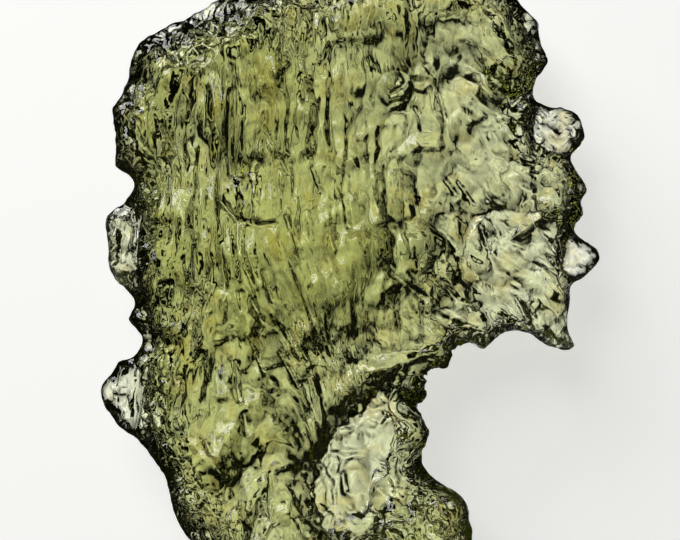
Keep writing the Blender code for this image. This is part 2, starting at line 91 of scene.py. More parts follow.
SPINES = [
    (8.35, 15.05, -0.03), (8.85, 14.45, 0), (9.45, 13.9, 0.02), (9.4, 13.5, 0), (9.55, 12.7, -0.02),
    (9.95, 11.9, 0.03), (9.45, 11.25, -0.03), (9.25, 10.55, 0), (9.1, 10.3, -0.05), (9.65, 9.85, 0.03),
    (10.15, 9.6, 0), (10.6, 9.63, 0), (11.25, 9.4, 0.09), (11.65, 8.8, 0.04), (11.8, 8.2, 0.03),
    (11.7, 7.9, 0), (11.05, 7.2, 0), (11.4, 6.25, 0.04), (11.75, 5.9, 0.04), (11.95, 5.45, 0),
    (11.6, 5.15, -0.03), (11.6, 4.65, 0), (11.75, 4.4, 0), (11.25, 3.65, -0.04), (11.35, 3.3, 0),
    (12.0, 2.8, 0.03), (12.6, 2.25, 0.03), (12.5, 1.9, 0), (11.95, 1.25, 0.02), (11.35, 0.85, 0),
    (11.05, 0.7, 0), (11.1, -0.3, 0), (11.0, -0.6, 0), (11.0, -1.55, 0), (11.4, -2.4, 0.03),
]
BAY = [
    (10.8, -2.6, 0.08), (9.5, -2.1, -0.08), (8.75, -1.7, -0.03), (7.8, -1.65, 0), (7.2, -2.05, 0),
    (6.7, -2.6, 0), (6.3, -2.25, -0.05), (5.4, -2.1, 0), (4.95, -2.55, 0), (4.85, -3.05, 0),
    (4.75, -3.2, 0), (4.05, -3.35, -0.06), (3.55, -3.8, -0.04), (3.7, -4.8, 0.03), (3.25, -5.3, 0),
    (3.7, -6.2, 0), (3.7, -6.5, 0), (3.95, -6.7, 0), (3.6, -7.35, 0), (3.55, -8.3, -0.03),
]
FOOT = [
    (4.35, -9.1, 0.02), (5.15, -9.55, 0), (5.65, -9.95, 0.05), (5.95, -10.75, 0.03), (6.0, -12.25, 0.05),
    (5.5, -13.7, -0.05), (5.1, -14.5, 0.13), (3.7, -15.4, -0.08), (2.7, -15.7, 0.15), (0.8, -16.4, -0.08),
    (-0.4, -16.4, 0.13), (-2.5, -16.1, -0.06), (-3.3, -15.6, 0.1), (-4.9, -14.8, -0.08),
    (-5.6, -14.4, 0.1), (-6.9, -13.3, -0.05), (-7.35, -12.8, 0.03),
]
OUTLINE_STEP = 0.12


def outline_points():
    """The outline as a fine closed loop: each stretch between two rows is a shallow arc."""
    rows = LEFT_EDGE + TOP_EDGE + SPINES + BAY + FOOT
    points = []
    for (x0, y0, bow), (x1, y1, _) in zip(rows, rows[1:] + rows[:1]):
        length = math.hypot(x1 - x0, y1 - y0)
        out_x, out_y = (y0 - y1) / length, (x1 - x0) / length
        steps = max(1, round(length / OUTLINE_STEP))
        for step in range(steps):
            t = step / steps
            rise = 4.0 * bow * t * (1.0 - t)
            points.append((x0 + (x1 - x0) * t + out_x * rise, y0 + (y1 - y0) * t + out_y * rise))
    return np.array(points)


loop = outline_points()
loop_ends = np.roll(loop, -1, 0)
print("outline of", len(loop), "points,", np.ptp(loop, 0).round(2), "mm wide and long")

# %% [markdown]
# ## A blank with even faces
#
# Carving needs small faces of one size everywhere. Blender's voxel remesh gives them from any closed
# shape, so the outline is filled and extruded as a flat 2D curve first, and then remeshed. The work is
# done in millimetres, because voxels of a tenth of a millimetre are easier on the tools that way.

# %% Read and move a mesh's vertices as arrays


def vertex_values(mesh, key):
    """A vector for each vertex, such as its place or its normal."""
    values = np.empty(len(mesh.vertices) * 3)
    mesh.vertices.foreach_get(key, values)
    return values.reshape(-1, 3)


def move_vertices(mesh, places):
    mesh.vertices.foreach_set("co", places.ravel())
    mesh.update()


# %% Use a modifier as a tool


def evaluated_mesh(obj):
    return bpy.data.meshes.new_from_object(obj.evaluated_get(bpy.context.evaluated_depsgraph_get()))


def apply_modifier(obj, kind, settings):
    """Add one modifier with its settings and make the result the object's own mesh."""
    modifier = obj.modifiers.new(kind.lower(), kind)
    for key, value in settings.items():
        setattr(modifier, key, value)
    mesh = evaluated_mesh(obj)
    obj.modifiers.clear()
    obj.data = mesh


def even_mesh(obj, cell):
    apply_modifier(obj, "REMESH", {"mode": "VOXEL", "voxel_size": cell, "adaptivity": 0.0})


# %% Fill and extrude the outline, then remesh it
SLAB_HALF = 1.0
WELD_GAP = 1e-4
FIRST_CELL = 0.2


def flat_slab(outline):
    """A slab of the outline's shape, from z = -1 to z = 1."""
    curve = bpy.data.curves.new("outline", "CURVE")
    curve.dimensions = "2D"
    curve.fill_mode = "BOTH"
    curve.extrude = SLAB_HALF
    spline = curve.splines.new("POLY")
    spline.points.add(len(outline) - 1)
    for point, (x, y) in zip(spline.points, outline):
        point.co = (x, y, 0.0, 1.0)
    spline.use_cyclic_u = True
    drawn = bpy.data.objects.new("outline", curve)
    bpy.context.collection.objects.link(drawn)
    mesh = evaluated_mesh(drawn)
    bpy.data.objects.remove(drawn)
    welded = bmesh.new()
    welded.from_mesh(mesh)
    bmesh.ops.remove_doubles(welded, verts=welded.verts, dist=WELD_GAP)
    welded.to_mesh(mesh)
    welded.free()
    slab = bpy.data.objects.new("moldavite_glass", mesh)
    bpy.context.collection.objects.link(slab)
    return slab


stone = flat_slab(loop)
even_mesh(stone, FIRST_CELL)
print("blank of", len(stone.data.polygons), "faces")

# %% [markdown]
# ## Thickness
#
# The left side is about 6 mm thick and dark green, the spiny right side 3 to 4 mm and pale, and the lobes
# that stand out from the edge are thinner still. The plate could be cut from a sculpted block, but a few
# thickness readings with a smooth blend between them are quicker to set against the stone's colour.

# %% Thickness rows: x, y, and how thick the plate is about there
THICKNESS = [
    (-8.5, 9.0, 6.0), (-5.0, 12.0, 5.8), (-2.5, 7.5, 6.6), (1.5, 13.0, 5.2), (1.5, 6.0, 5.4),
    (5.0, 9.0, 4.6), (7.5, 12.5, 4.4), (8.5, 6.0, 3.2), (6.0, 2.5, 3.4), (9.0, 0.0, 2.2),
    (-8.5, 0.0, 6.2), (-2.5, 0.0, 6.6), (2.5, -0.5, 5.4), (1.75, -2.5, 5.0), (-8.0, -6.0, 5.8),
    (-5.0, -9.0, 6.2), (0.0, -6.5, 3.3), (2.5, -6.5, 3.3), (-1.0, -10.5, 3.6), (-6.75, -11.0, 6.0),
    (4.5, -10.5, 5.8), (4.0, -13.0, 6.2), (-2.5, -14.5, 5.4),
]
THICKNESS_REACH = 3.3
LEAST_WEIGHT = 1e-9


def thickness_at(x, y):
    """A smooth blend of the thickness rows, the nearest counting most."""
    total = 0.0
    weights = 0.0
    for row_x, row_y, thick in THICKNESS:
        weight = np.exp(-((x - row_x) ** 2 + (y - row_y) ** 2) / (2.0 * THICKNESS_REACH ** 2)) + LEAST_WEIGHT
        total = total + weight * thick
        weights = weights + weight
    return total / weights


print("the plate is", round(thickness_at(-8.5, 9.0), 1), "mm thick at its upper left and",
      round(thickness_at(9.0, 0.0), 1), "mm at its right")

# %% The middle of the plate bends up away from the spot it rests on, and falls to the thin right
REST_SPOT = (-1.2, 2.6)
MID_HEIGHT = 3.3
BEND = 0.0035
FALL = 0.05


def middle_at(x, y):
    """The height of the middle of the plate."""
    right, up = x - REST_SPOT[0], y - REST_SPOT[1]
    return MID_HEIGHT - FALL * right + BEND * (right ** 2 + up ** 2)


# %% [markdown]
# ## Rims
#
# Near the edge the plate rounds over. A real rim is between a bevel and a half round, and where both of
# its faces are steeper than about 45 degrees it sends the light aside and looks black. So the rim's width
# goes with the thickness, and a few rows make it tighter or wider where the black band is. The lobes are
# too thin for a wide rim, so they get a short one of their own and stay pale.

# %% Rim values, and rows of where the rim is tighter or wider: x, y, radius, how many times as wide
RIM_SHARE = 0.52
RIM_THIN = 1.7
RIM_LEAST = 0.5
RIM_MOST = 2.6
RIM_LIP = 0.22
RIM_POWER = 1.05
RIM_WIDTHS = [
    (4.8, -2.6, 3.2, 0.3), (9.0, -2.2, 2.5, 0.4), (4.0, -6.0, 2.6, 0.45), (-7.5, 14.6, 4.0, 1.4),
    (-11.0, 6.5, 8.0, 0.7), (-10.5, -6.5, 6.0, 0.75),
]


def rim_width_at(x, y):
    """How many times as wide as elsewhere the rim is at each place."""
    share = np.ones(len(x))
    for row_x, row_y, radius, times in RIM_WIDTHS:
        reach = np.hypot(x - row_x, y - row_y) / radius
        share = share * (1.0 + (times - 1.0) * np.clip(1.0 - reach ** 2, 0.0, 1.0))
    return share


def rounded(depth, full, lip):
    """Half the thickness where the rim rounds over, from its blunt lip to the full value."""
    left = 1.0 - np.clip(depth, 0.0, 1.0)
    return lip + (full - lip) * (1.0 - left ** RIM_POWER) ** (1.0 / RIM_POWER)


# %% Thin glassy lobes that stand out from the edge: x, y, half width, half length, thickness
LOBES = [
    (-11.65, 2.6, 0.7, 2.0, 2.4), (-11.6, -4.75, 0.9, 1.8, 1.6), (10.8, 8.6, 1.1, 1.0, 1.8),
    (11.75, 5.6, 0.4, 0.7, 1.0), (11.85, 2.1, 0.9, 1.3, 1.4),
]
LOBE_RIM = 0.5
LOBE_LIP = 0.2
LOBE_OVERLAP = 1.25
FAR_OFF = 99.0


def half_thickness(x, y, edge, rim_factor):
    """Half the plate's thickness, thin over the lobes and rounded towards the edge."""
    thick = thickness_at(x, y)
    lobe_gap = np.full(len(x), FAR_OFF)
    lobe_thick = np.zeros(len(x))
    for lobe_x, lobe_y, half_x, half_y, thin in LOBES:
        reach = np.hypot((x - lobe_x) / half_x, (y - lobe_y) / half_y)
        lobe_gap = np.minimum(lobe_gap, (reach - 1.0) * min(half_x, half_y))
        lobe_thick = np.where(reach < LOBE_OVERLAP, np.maximum(lobe_thick, thin), lobe_thick)
    body_edge = np.minimum(edge, np.maximum(lobe_gap, 0.0))
    rim = np.clip(RIM_SHARE * (thick - RIM_THIN) * rim_factor, RIM_LEAST, RIM_MOST)
    body = rounded(body_edge / rim, thick / 2.0, RIM_LIP)
    lobe = rounded(edge / LOBE_RIM, np.maximum(lobe_thick / 2.0, LOBE_LIP), LOBE_LIP)
    return np.where(lobe_thick > 0.0, np.maximum(body, lobe), body)


# %% [markdown]
# ## Etching, as layers of bowls
#
# Etched glass is covered with hollows that grow until they meet, so the ridges between them are sharp.
# Ordinary noise is too soft for that. The squared distance to the nearest of many scattered points gives
# bowls that meet in creases, and stretching the points' grid along one direction turns bowls into flutes.
# Where glass has flaked off in shells, narrow grooves run round the shells, and the difference between
# the distances to the nearest two points draws those.

# %% A repeatable value for each cell, and smooth noise from it


def scatter(cells, seed):
    """A repeatable value from 0 to 1 for each whole-numbered cell."""
    mixed = cells[:, 0] * 374761393 + cells[:, 1] * 668265263 + cells[:, 2] * 2147483647 + seed * 1274126177
    mixed = mixed & 0xffffffff
    mixed = ((mixed ^ (mixed >> 13)) * 1274126177) & 0xffffffff
    mixed = mixed ^ (mixed >> 16)
    return (mixed & 0xffffff) / float(0x1000000)


def drift(points, seed):
    """Smooth noise from -1 to 1."""
    cells = np.floor(points).astype(np.int64)
    part = points - cells
    ease = part ** 3 * (part * (part * 6.0 - 15.0) + 10.0)
    total = 0.0
    for corner in np.ndindex(2, 2, 2):
        shares = np.where(np.array(corner) == 1, ease, 1.0 - ease)
        total = total + shares.prod(1) * scatter(cells + np.array(corner), seed)
    return total * 2.0 - 1.0


# %% Bowls round scattered points, and seams between them
BOWL_REACH = 0.9
SEAM_REACH = 9.0


def gaps_to_points(points, seed):
    """The distance to the scattered point of each cell near each place, one cell after another."""
    cells = np.floor(points).astype(np.int64)
    for offset in np.ndindex(3, 3, 3):
        there = cells + np.array(offset) - 1
        jitter = np.stack([scatter(there, seed), scatter(there, seed + 17), scatter(there, seed + 31)], 1)
        yield np.sqrt(((points - there - jitter) ** 2).sum(1))


def bowls(points, seed):
    """Hollows that meet in sharp ridges: the squared distance to the nearest scattered point."""
    nearest = np.full(len(points), BOWL_REACH)
    for gap in gaps_to_points(points, seed):
        nearest = np.minimum(nearest, gap)
    return nearest ** 2


def seams(points, seed, width):
    """Narrow grooves between the cells of scattered points: 1 on a border, 0 the given width away."""
    nearest = np.full(len(points), SEAM_REACH)
    second = np.full(len(points), SEAM_REACH)
    for gap in gaps_to_points(points, seed):
        second = np.minimum(second, np.maximum(nearest, gap))
        nearest = np.minimum(nearest, gap)
    return np.clip(1.0 - (second - nearest) / width, 0.0, 1.0)


# %% Layers of bowls: cell across, cell along, turn in degrees, depth, seed


def turned(points, turn):
    """The points' x and y, measured across and along a direction turned from +Y by so many degrees."""
    cos, sin = math.cos(math.radians(turn)), math.sin(math.radians(turn))
    return points[:, 0] * cos + points[:, 1] * sin, points[:, 1] * cos - points[:, 0] * sin


def etched(places, layers):
    """Add up layers of bowls, each stretched along its own direction."""
    total = 0.0
    for across, along, turn, depth, seed in layers:
        u, v = turned(places, turn)
        total = total + depth * bowls(np.stack([u / across, v / along, places[:, 2] / across], 1), seed)
    return total


# %% [markdown]
# ## From blank to plate
#
# Now each place of the blank gets its height from its distance to the edge. The rim's width drifts a
# little along the edge, one way on the face and the other way on the back, as it does on a found stone.
# A second, finer remesh then evens out the faces that this has stretched.

# %% Distance to the edge


def distance_to_segments(points, starts, ends, block=2000):
    """Each point's distance to the nearest of the segments, in the XY plane, a block of points at a time."""
    along = ends - starts
    squares = (along ** 2).sum(1)
    nearest = np.empty(len(points))
    for k in range(0, len(points), block):
        here = points[k:k + block, None]
        t = np.clip(((here - starts) * along).sum(2) / squares, 0.0, 1.0)
        gaps = here - (starts + along * t[..., None])
        nearest[k:k + block] = np.sqrt((gaps ** 2).sum(2).min(1))
    return nearest


# %% Soften a mesh


def soften(mesh, rounds):
    """Move each vertex half way to the middle of its neighbours, several times."""
    places = vertex_values(mesh, "co")
    ends = np.empty(len(mesh.edges) * 2, np.int64)
    mesh.edges.foreach_get("vertices", ends)
    first, second = ends.reshape(-1, 2).T
    count = np.bincount(ends, minlength=len(places))
    for _ in range(rounds):
        for axis in range(3):
            along = places[:, axis]
            total = np.bincount(first, along[second], len(along))
            total += np.bincount(second, along[first], len(along))
            places[:, axis] = 0.5 * (along + total / count)
    move_vertices(mesh, places)


# %% Give the blank its thickness
RIM_CHANGE = 0.15
RIM_PATCH = 3.5
RIM_SEED = 51
FINE_CELL = 0.085
SOFTEN_ROUNDS = 3


def give_thickness(mesh):
    """Turn the flat slab into the plate: rounded at its rim and bent up towards its ends."""
    places = vertex_values(mesh, "co")
    x, y, side = places.T
    edge = distance_to_segments(places[:, :2], loop, loop_ends)
    level = np.stack([x, y, np.zeros(len(x))], 1)
    change = RIM_CHANGE * drift(level / RIM_PATCH, RIM_SEED) * np.sign(side)
    half = half_thickness(x, y, edge, (1.0 + change) * rim_width_at(x, y))
    places[:, 2] = middle_at(x, y) + np.clip(side, -SLAB_HALF, SLAB_HALF) * half
    move_vertices(mesh, places)


give_thickness(stone.data)
even_mesh(stone, FINE_CELL)
soften(stone.data, SOFTEN_ROUNDS)
print("plate of", len(stone.data.polygons), "faces of", FINE_CELL, "mm")

# %% [markdown]
# ## The forms placed one by one
#
# Random etching alone would give any moldavite. This one has a pale scallop low on the face, an oval
# lump, raised shelves with sharp upper edges, and some single dark gouges. Each is one row of numbers,
# which is quicker to set against the real stone than sculpting, and easier to change.
#
# The broad forms are ovals. Dishes are round hollows, and lumps are flat on top and steep at the rim.
# Shelves are lumps that stand up steeply at their upper left and sink into the face opposite.

# %% Tools for oval forms


def oval_reach(x, y, row):
    """The squared distance from a row's middle, 1 at the oval's rim."""
    u, v = turned(np.stack([x - row[0], y - row[1]], 1), row[4])
    return (u / row[2]) ** 2 + (v / row[3]) ** 2


def dished(x, y, rows):
    """The deepest of several round dishes at each place."""
    return np.max([row[5] * np.maximum(1.0 - oval_reach(x, y, row), 0.0) for row in rows], axis=0)


def lumped(x, y, rows):
    """The highest of several flat-topped lumps with steep rims."""
    return np.max([row[5] * np.maximum(1.0 - oval_reach(x, y, row) ** 2, 0.0) for row in rows], axis=0)


# %% Dishes and lumps: x, y, half width, half length, turn in degrees, depth or height
DISHES = [
    (1.0, 8.0, 1.4, 5.0, 0, 0.35), (-2.5, 12.0, 2.0, 3.0, 0, 0.3), (4.6, 12.0, 3.4, 3.4, 20, 0.3),
    (6.9, 8.0, 2.6, 2.5, 40, 0.35), (-6.7, -1.5, 1.5, 3.5, 0, 0.35), (-8.0, 7.5, 1.4, 4.0, 0, 0.4),
    (-5.0, -8.5, 1.7, 3.0, -10, 0.4), (4.7, -0.4, 1.8, 1.3, 0, 0.35),
]
BACK_DISHES = [
    (-7.0, 8.5, 2.6, 3.6, 15, 0.6), (4.8, 9.5, 3.8, 3.2, -20, 0.3), (6.5, 3.0, 2.6, 3.0, 30, 0.3),
    (-5.5, -10.0, 2.4, 3.2, 10, 0.6), (2.5, -11.5, 2.4, 2.4, 0, 0.5),
]
LUMPS = [
    (-4.9, 4.75, 1.6, 1.25, -10, 0.35), (2.2, 10.4, 0.9, 0.9, 0, 0.25), (-8.0, 2.0, 1.0, 1.6, 10, 0.25),
]
print(len(DISHES), "dishes and", len(LUMPS), "lumps on the face,", len(BACK_DISHES), "dishes on the back")

# %% Shelves, given as the lumps are
SHELVES = [
    (1.4, 1.6, 2.3, 2.1, 0, 0.6), (3.6, 2.2, 1.9, 1.3, -15, 0.5), (7.75, 2.5, 2.1, 1.9, -20, 0.5),
    (1.6, -3.7, 2.6, 0.9, 20, 0.4), (8.0, 11.0, 1.3, 1.1, 0, 0.4), (3.8, 7.4, 1.4, 0.9, 10, 0.4),
    (-3.4, 10.9, 1.0, 1.3, 10, 0.4), (6.2, 8.3, 1.5, 1.1, -30, 0.35), (10.2, 4.0, 1.2, 1.0, -30, 0.35),
    (-4.4, -2.6, 1.2, 2.2, 10, 0.3), (-1.2, 0.0, 1.0, 1.4, 20, 0.35), (-5.6, -7.6, 1.2, 1.6, 0, 0.35),
]
SHELF_RUN = 1.4
SHELF_MIDDLE = 0.55
SHELF_SLOPE = 0.45


def shelved(x, y, rows):
    """The highest of several shelves, each full at its upper left and level with the face opposite."""
    heights = []
    for row in rows:
        up_left = (y - row[1] - x + row[0]) / (SHELF_RUN * min(row[2], row[3]))
        top = np.maximum(1.0 - oval_reach(x, y, row) ** 2, 0.0)
        heights.append(row[5] * top * np.clip(SHELF_MIDDLE + SHELF_SLOPE * up_left, 0.0, 1.0))
    return np.max(heights, axis=0)


print(len(SHELVES), "shelves")

# %% [markdown]
# ## The scallop
#
# Low on the face a large flake has come off, and the glass there is thin, pale and glossy. Several ovals
# together give its outline, and a smooth step gives its wall. Round chips, ripples and narrow grooves
# give its floor the look of overlapping shells.

# %% Scallop: the ovals that it covers, its depth and wall, and the middles of its chips
SCALLOP = [
    (1.6, -5.3, 2.1, 1.9, 0), (0.2, -7.2, 2.3, 2.4, 0), (1.5, -8.0, 1.7, 2.6, 0), (-1.0, -9.2, 2.2, 2.3, 0),
    (-0.4, -11.0, 2.7, 2.1, 0),
]
SCALLOP_DEPTH = 0.6
SCALLOP_WALL = 1.2
CHIPS = [
    (1.35, -5.1), (0.2, -6.8), (1.5, -8.1), (1.9, -9.5), (-2.1, -9.2), (-0.7, -10.9), (0.5, -12.2),
    (-1.4, -7.9), (2.2, -6.9), (0.3, -9.3),
]
CHIP_SIZE = 1.5
CHIP_DEPTH = 0.25


def in_scallop(x, y):
    """0 outside the scallop, rising to 1 across its wall."""
    inside = [np.maximum(1.0 - oval_reach(x, y, row), 0.0) * min(row[2], row[3]) / 2.0 for row in SCALLOP]
    part = np.clip(np.sum(inside, axis=0) / SCALLOP_WALL, 0.0, 1.0)
    return part * part * (3.0 - 2.0 * part)


def chipped(x, y):
    """Round chips that meet in sharp ridges on the scallop's floor."""
    squares = [((x - chip_x) ** 2 + (y - chip_y) ** 2) / CHIP_SIZE ** 2 for chip_x, chip_y in CHIPS]
    return CHIP_DEPTH * np.minimum(np.min(squares, axis=0), 1.0)


# %% Ripples, given as layers of bowls, and seams round the shells: cell, width as a share of it, depth, seed
SHELL_RIPPLES = [(1.3, 0.8, 15, 0.3, 101), (0.6, 0.4, -10, 0.12, 102)]
SHELL_SEAMS = [(1.5, 0.2, 0.22, 111), (0.7, 0.36, 0.13, 112)]
SEAM_FLATNESS = 0.3


def shelled(winding):
    """The ripples and seams of the scallop's floor."""
    shells = etched(winding, SHELL_RIPPLES)
    for cell, width, depth, seed in SHELL_SEAMS:
        shells = shells - depth * seams(winding * (1.0, 1.0, SEAM_FLATNESS) / cell, seed, width)
    return shells


print("scallop of", len(SCALLOP), "ovals and", len(CHIPS), "chips,", SCALLOP_DEPTH, "mm deep")

# %% [markdown]
# ## Gouges and crests
#
# Single dark gouges are narrow V-shaped grooves along a short line, and the shelves' upper edges carry
# crests of the same shape upside down. Most crests rise at about 36 degrees, which tilts their upper side
# half way towards a low light, so that it mirrors the light into the eye.

# %% Gouges: from x, y to x, y, half width, depth
GOUGES = [
    (-5.95, 10.2, -5.95, 6.2, 0.22, 0.45), (-9.25, 8.5, -8.75, 7.5, 0.15, 0.3),
    (-4.25, 8.5, -3.1, 6.2, 0.12, 0.28), (-4.6, 8.2, -4.75, 6.8, 0.15, 0.3),
    (-1.9, 6.5, -1.4, 5.3, 0.15, 0.3), (-2.2, 11.9, -2.1, 11.2, 0.2, 0.3),
    (-3.2, 4.15, -2.4, 1.9, 0.15, 0.3), (-0.3, 5.1, -0.1, 3.6, 0.18, 0.4),
    (4.75, 5.9, 5.3, 5.2, 0.15, 0.35), (5.4, 5.8, 6.1, 4.8, 0.15, 0.35), (6.5, 3.7, 6.9, 2.5, 0.18, 0.35),
    (2.0, 1.3, 3.75, 0.0, 0.25, 0.35), (4.3, 1.1, 5.4, 0.0, 0.22, 0.4), (5.4, 0.0, 6.6, -0.5, 0.15, 0.3),
    (8.3, 0.1, 8.85, -1.0, 0.15, 0.25), (10.5, 1.1, 10.8, -0.8, 0.25, 0.35),
    (-4.9, 0.0, -4.4, -1.1, 0.15, 0.3), (-5.45, 0.35, -5.35, -0.4, 0.25, 0.45),
    (-4.35, 1.4, -3.9, 0.0, 0.12, 0.25), (-5.65, -3.1, -5.5, -5.0, 0.2, 0.35),
    (-5.0, -1.85, -4.35, -3.5, 0.13, 0.3), (-3.5, -2.6, -2.6, -4.25, 0.12, 0.28),
    (-3.1, -1.5, -2.0, -3.75, 0.12, 0.28), (-5.25, -5.6, -5.15, -6.5, 0.25, 0.4),
    (-7.1, -6.9, -6.9, -7.6, 0.15, 0.35), (-4.5, -9.9, -4.4, -10.5, 0.2, 0.4),
    (-4.0, -8.5, -3.9, -10.75, 0.13, 0.3), (-6.4, 2.5, -6.2, 0.5, 0.14, 0.3),
    (-7.7, 2.5, -7.65, 1.0, 0.14, 0.3), (-5.6, 13.1, -4.8, 13.0, 0.15, 0.3),
    (-8.7, 12.1, -7.6, 11.4, 0.2, 0.35), (-2.5, 14.6, -1.75, 14.3, 0.2, 0.35),
    (3.75, 11.6, 4.0, 11.25, 0.2, 0.3), (4.4, 10.25, 4.75, 8.9, 0.13, 0.28),
    (2.0, 10.2, 2.6, 10.6, 0.13, 0.3), (2.0, 9.7, 2.7, 9.9, 0.13, 0.3), (2.1, 9.3, 2.7, 9.3, 0.13, 0.3),
    (3.2, 9.5, 3.4, 9.2, 0.15, 0.3), (-0.3, -8.5, -0.2, -9.4, 0.2, 0.4),
    (-6.4, 4.85, -5.6, 3.9, 0.22, 0.35), (-5.6, 3.9, -4.6, 3.65, 0.22, 0.35),
    (-4.6, 3.65, -3.75, 3.75, 0.18, 0.25),
]

# %% Crests, given as the gouges are, with a height
CRESTS = [
    (-0.9, 2.4, -0.25, 2.85, 0.32, 0.23), (-0.25, 2.85, 0.75, 3.6, 0.38, 0.28),
    (0.75, 3.6, 1.75, 3.9, 0.38, 0.28), (1.75, 3.9, 2.5, 3.5, 0.34, 0.25), (2.5, 3.5, 3.5, 3.7, 0.32, 0.23),
    (3.5, 3.7, 4.5, 3.0, 0.28, 0.2), (8.25, 3.25, 10.5, 4.75, 0.32, 0.23),
    (1.0, -3.5, 2.5, -3.1, 0.34, 0.25), (2.5, -3.1, 4.4, -2.5, 0.34, 0.25),
    (3.25, 7.6, 4.5, 7.6, 0.25, 0.25), (-5.7, 5.9, -4.6, 6.0, 0.25, 0.2),
    (2.4, 10.6, 3.6, 10.4, 0.22, 0.25), (-3.8, 11.1, -3.2, 11.6, 0.25, 0.3),
    (5.9, 8.8, 6.6, 9.1, 0.25, 0.25),
]


def scored(points, rows):
    """Narrow V-shaped lines: how deep or high the strongest of them is at each place."""
    strongest = np.zeros(len(points))
    for x0, y0, x1, y1, half_width, depth in rows:
        gap = distance_to_segments(points, np.array([[x0, y0]]), np.array([[x1, y1]]))
        strongest = np.maximum(strongest, depth * (1.0 - gap / half_width))
    return strongest


print(len(GOUGES), "gouges and", len(CRESTS), "crests")

# %% [markdown]
# ## Etching the stone
#
# On the left the flutes run straight up the stone, and on the right they are shorter and lean over by
# about 50 degrees. Three sizes of flute, the widest 0.9 mm and the narrowest 0.24 mm, sit on broader
# swells and hollows. On the rim the flutes weaken and small pebbles are added. Every layer pushes the
# surface along its own normal, so the steep rim is etched too.

# %% Flutes: cell across, cell along, turn in degrees, depth, seed
UPRIGHT_FLUTES = [(0.9, 6.0, 2, 0.55, 11), (0.42, 3.0, -2, 0.3, 21), (0.24, 1.4, 0, 0.1, 71)]
LEANING_FLUTES = [(0.9, 2.4, 50, 0.42, 12), (0.42, 1.1, 48, 0.22, 22), (0.24, 0.55, 52, 0.08, 72)]
FLUTE_WARP = 0.22
# The leaning flutes take over right of this x, at y = 0, along a border that tilts to the right
LEAN_FROM = 2.0
LEAN_FADE = 0.6
LEAN_TILT = 0.12
# Below this y the upright flutes swing out sideways: to the right round one x, and to the left past another,
# by so many millimetres for each millimetre down
SWING_BELOW = 3.0
SWING_RIGHT, SWING_X, SWING_WIDTH = 0.45, -2.5, 3.0
SWING_LEFT, SWING_LEFT_X = 0.12, -6.0


def fluted(places, winding, wander):
    """Upright flutes on the left, which fan out low down, and leaning ones on the right."""
    x, y, _ = places.T
    straight = places + FLUTE_WARP * wander
    swing = SWING_RIGHT * np.exp(-((x - SWING_X) / SWING_WIDTH) ** 2)
    swing = swing - SWING_LEFT * np.clip((SWING_LEFT_X - x) / SWING_WIDTH, 0.0, 1.0)
    straight[:, 0] += swing * np.minimum(y - SWING_BELOW, 0.0)
    lean = 1.0 / (1.0 + np.exp(LEAN_TILT * y - LEAN_FADE * (x - LEAN_FROM)))
    return (1.0 - lean) * etched(straight, UPRIGHT_FLUTES) + lean * etched(winding, LEANING_FLUTES)


# %% Small pits in patches, with extra ones on the thin lobes of the left edge, left of an x
PITS = [(0.36, 0.36, 0, 0.12, 61)]
PIT_PATCH = 1.8
PIT_PATCH_SEED = 91
PIT_CONTRAST = 1.5
PIT_LEVEL = 0.3
LOBE_PITS = 2.0
LOBES_FROM = -10.6


def pitted(places):
    """Round pits, strong in some patches and missing in others."""
    patches = np.clip(drift(places / PIT_PATCH, PIT_PATCH_SEED) * PIT_CONTRAST + PIT_LEVEL, 0.0, 1.0)
    patches = patches + LOBE_PITS * np.clip(LOBES_FROM - places[:, 0], 0.0, 1.0)
    return patches * etched(places, PITS)


# %% Pebbles on the rim
RIM_PEBBLES = [(0.7, 0.9, 0, 0.33, 151), (0.34, 0.34, 0, 0.27, 152)]
# The rim begins where the plate, before etching, leans by about 30 degrees, and its normal is this upright
RIM_UPRIGHT = 0.86
RIM_FADE = 4.0
FLUTES_ON_RIM = 0.4


def pebbled(fine, winding, normals):
    """Weaken the flutes on the rim, and add pebbles there."""
    on_rim = np.clip((RIM_UPRIGHT - np.abs(normals[:, 2])) * RIM_FADE, 0.0, 1.0)
    return (1.0 - (1.0 - FLUTES_ON_RIM) * on_rim) * fine + on_rim * etched(winding, RIM_PEBBLES)


# %% Patches where the fine etching is weaker or stronger: x, y, half width, half length, how strong it is
PATCHES = [
    (0.5, 9.5, 4.5, 7.0, 0.55), (-1.0, 0.2, 1.8, 1.5, 0.7), (5.5, 8.5, 4.5, 6.0, 0.65),
    (-4.9, 5.0, 1.8, 1.5, 0.6), (8.0, 1.5, 3.5, 3.5, 0.75), (-6.0, -8.0, 3.5, 6.0, 1.5),
    (3.5, -13.0, 3.5, 3.0, 1.9), (-3.0, -14.5, 4.0, 2.5, 1.3), (-11.0, 9.5, 2.6, 5.5, 0.6),
    (-11.0, -0.5, 2.2, 5.5, 0.7), (1.5, 3.6, 3.2, 0.6, 0.4), (9.4, 4.0, 1.3, 0.8, 0.5),
    (2.7, -2.9, 1.9, 0.5, 0.5),
]


def patch_share(x, y):
    """How strong the fine etching is at each place."""
    share = np.ones(len(x))
    for row_x, row_y, half_x, half_y, strength in PATCHES:
        reach = np.hypot((x - row_x) / half_x, (y - row_y) / half_y)
        share = share * (1.0 + (strength - 1.0) * np.clip(1.0 - reach ** 2, 0.0, 1.0))
    return share


# %% All the fine etching together
FACE_FADE = 2.0
# How much of the flutes, pits and pebbles is left in the scallop
IN_SCALLOP = 0.15


def face_share(normals, side=1.0):
    """1 on the face, or on the back for a side of -1, and 0 opposite."""
    return np.clip(normals[:, 2] * side * FACE_FADE, 0.0, 1.0)


